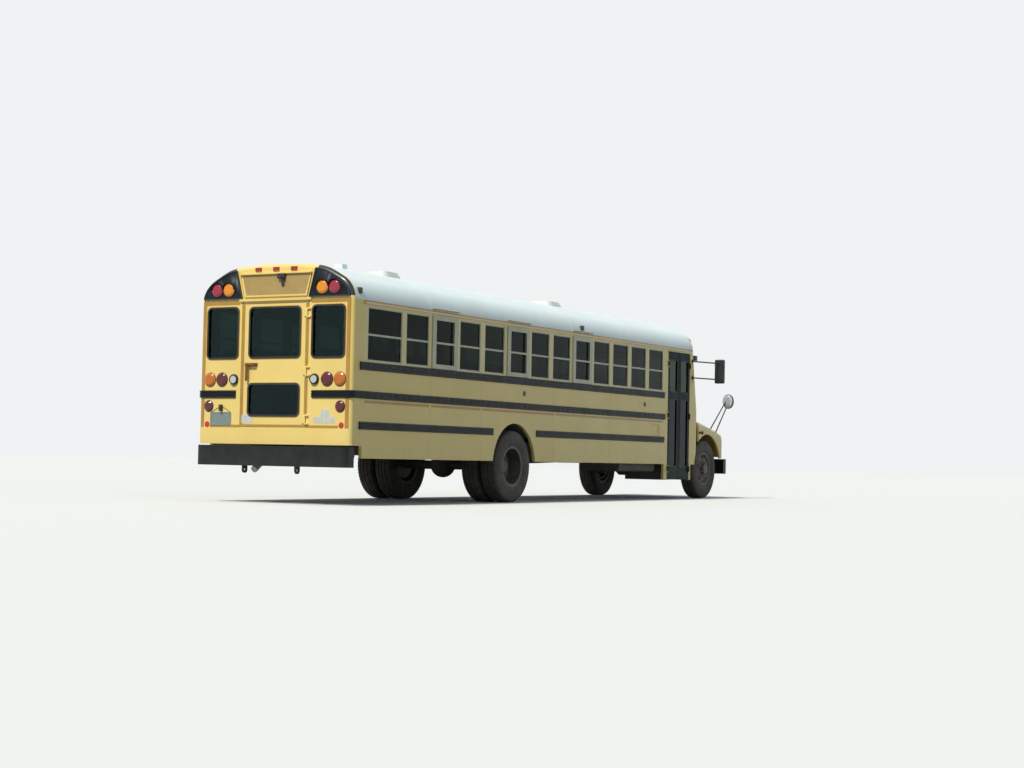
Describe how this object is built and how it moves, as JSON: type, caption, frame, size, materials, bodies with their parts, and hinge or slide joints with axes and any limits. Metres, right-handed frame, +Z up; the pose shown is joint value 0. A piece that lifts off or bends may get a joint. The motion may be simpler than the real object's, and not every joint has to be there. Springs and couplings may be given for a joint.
{
  "type": "school bus",
  "caption": "Full-size yellow school bus with a hood ahead of the cabin, dual rear wheels, roof hatches, a folding entrance door and a rear emergency door.",
  "frame": {"origin": "on the ground below the middle of the whole vehicle", "axes": "+X forward, +Y to the left side, +Z up"},
  "size_m": [12.313, 3.084, 3.2363],
  "materials": {
    "yellow_paint": "semi-gloss",
    "white_paint": "semi-gloss",
    "black_paint": "semi-gloss",
    "chassis_paint": "matt",
    "rim_paint": "satin",
    "frame_metal": "satin",
    "steel": "brushed",
    "tyre": "matt",
    "cabin_glass": "clear",
    "red_lens": "gloss",
    "amber_lens": "gloss",
    "clear_lens": "gloss",
    "mirror_shell": "matt",
    "dark_plastic": "matt",
    "floor_cover": "matt",
    "seat_cover": "satin",
    "stop_red": "semi-gloss"
  },
  "bodies": {
    "bus": {"rear_wall": "yellow_paint", "roof": "white_paint", "front_cap": "white_paint", "lower_side_panels": "yellow_paint", "window_bands": "yellow_paint", "window_frames": "frame_metal", "cabin_glass": "cabin_glass", "front_side_panels": "yellow_paint", "front_frame": "yellow_paint", "floor": "floor_cover", "wheel_housings": "floor_cover", "step_well": "floor_cover", "rub_rails": "black_paint", "frame_rails": "chassis_paint", "cross_members": "chassis_paint", "engine_block": "chassis_paint", "exhaust": "steel", "fuel_tank": "chassis_paint", "bumpers": "black_paint", "tow_eyes": "black_paint", "leaf_springs": "chassis_paint", "front_axle": "chassis_paint", "rear_axle": "chassis_paint", "mirrors": "mirror_shell", "stop_arm_base": "black_paint", "lamp_panels": "black_paint", "red_lamps": "red_lens", "amber_lamps": "amber_lens", "clear_lamps": "clear_lens", "seat_cushions": "seat_cover", "seat_backs": "seat_cover", "seat_frames": "steel", "dashboard": "dark_plastic"},
    "rear_door": {"rear_door": "yellow_paint", "rear_door_glass": "cabin_glass"},
    "hatch_rear": {"hatch_lid_rear": "white_paint"},
    "hatch_front": {"hatch_lid_front": "white_paint"},
    "entrance_rear": {"entrance_leaf_rear": "black_paint", "entrance_glass_rear": "cabin_glass"},
    "entrance_front": {"entrance_leaf_front": "black_paint", "entrance_glass_front": "cabin_glass"},
    "fuel_flap": {"fuel_door": "yellow_paint"},
    "hood": {"hood": "yellow_paint", "grille": "black_paint", "front_lamps": "clear_lens", "crossover_mirrors": "mirror_shell"},
    "stop_arm": {"stop_arm": "stop_red"},
    "steering_wheel": {"steering_wheel": "dark_plastic"},
    "knuckle_left": {"knuckle_left": "chassis_paint"},
    "knuckle_right": {"knuckle_right": "chassis_paint"},
    "wheel_front_left": {"rim_front_left": "rim_paint", "tyre_front_left": "tyre"},
    "wheel_front_right": {"rim_front_right": "rim_paint", "tyre_front_right": "tyre"},
    "wheels_rear_left": {"rims_rear_left": "rim_paint", "tyres_rear_left": "tyre"},
    "wheels_rear_right": {"rims_rear_right": "rim_paint", "tyres_rear_right": "tyre"}
  },
  "joints": [
    {"name": "rear_door_swing", "type": "hinge", "parent": "bus", "child": "rear_door", "pos_m": [-6.0785, -0.515, 1.7], "axis": [0, 0, 1], "range_deg": [0, 100]},
    {"name": "hatch_rear_lift", "type": "hinge", "parent": "bus", "child": "hatch_rear", "pos_m": [-3.4135, 0, 3.12434], "axis": [0, 1, 0], "range_deg": [0, 70]},
    {"name": "hatch_front_lift", "type": "hinge", "parent": "bus", "child": "hatch_front", "pos_m": [1.4155, 0, 3.12434], "axis": [0, 1, 0], "range_deg": [0, 70]},
    {"name": "entrance_rear_swing", "type": "hinge", "parent": "bus", "child": "entrance_rear", "pos_m": [3.4315, -1.229, 1.44], "axis": [0, 0, 1], "range_deg": [-90, 0]},
    {"name": "entrance_front_swing", "type": "hinge", "parent": "bus", "child": "entrance_front", "pos_m": [4.3405, -1.229, 1.44], "axis": [0, 0, 1], "range_deg": [0, 90]},
    {"name": "fuel_flap_swing", "type": "hinge", "parent": "bus", "child": "fuel_flap", "pos_m": [3.0885, -1.229, 1.175], "axis": [0, 0, 1], "range_deg": [0, 110]},
    {"name": "hood_tilt", "type": "hinge", "parent": "bus", "child": "hood", "pos_m": [5.9795, 0, 0.8], "axis": [0, 1, 0], "range_deg": [0, 78]},
    {"name": "stop_arm_swing", "type": "hinge", "parent": "bus", "child": "stop_arm", "pos_m": [3.8805, 1.263, 1.45], "axis": [0, 0, 1], "range_deg": [-90, 0]},
    {"name": "steering_wheel_turn", "type": "hinge", "parent": "bus", "child": "steering_wheel", "pos_m": [4.2655, 0.62, 1.74], "axis": [-0.5, 0, 0.866], "range_deg": [-540, 540]},
    {"name": "steer_left", "type": "hinge", "parent": "bus", "child": "knuckle_left", "pos_m": [5.1995, 0.865, 0.525], "axis": [0, 0, 1], "range_deg": [-30, 30]},
    {"name": "steer_right", "type": "hinge", "parent": "bus", "child": "knuckle_right", "pos_m": [5.1995, -0.865, 0.525], "axis": [0, 0, 1], "range_deg": [-30, 30]},
    {"name": "spin_front_left", "type": "hinge", "parent": "knuckle_left", "child": "wheel_front_left", "pos_m": [5.1995, 1.015, 0.525], "axis": [0, 1, 0], "continuous": true},
    {"name": "spin_front_right", "type": "hinge", "parent": "knuckle_right", "child": "wheel_front_right", "pos_m": [5.1995, -1.015, 0.525], "axis": [0, 1, 0], "continuous": true},
    {"name": "spin_rear_left", "type": "hinge", "parent": "bus", "child": "wheels_rear_left", "pos_m": [-1.8805, 0.91, 0.525], "axis": [0, 1, 0], "continuous": true},
    {"name": "spin_rear_right", "type": "hinge", "parent": "bus", "child": "wheels_rear_right", "pos_m": [-1.8805, -0.91, 0.525], "axis": [0, 1, 0], "continuous": true}
  ],
  "couplings": [
    {"joint": "steer_right", "follows": "steer_left", "ratio": 1},
    {"joint": "steering_wheel_turn", "follows": "steer_left", "ratio": 18},
    {"joint": "entrance_front_swing", "follows": "entrance_rear_swing", "ratio": -1}
  ]
}
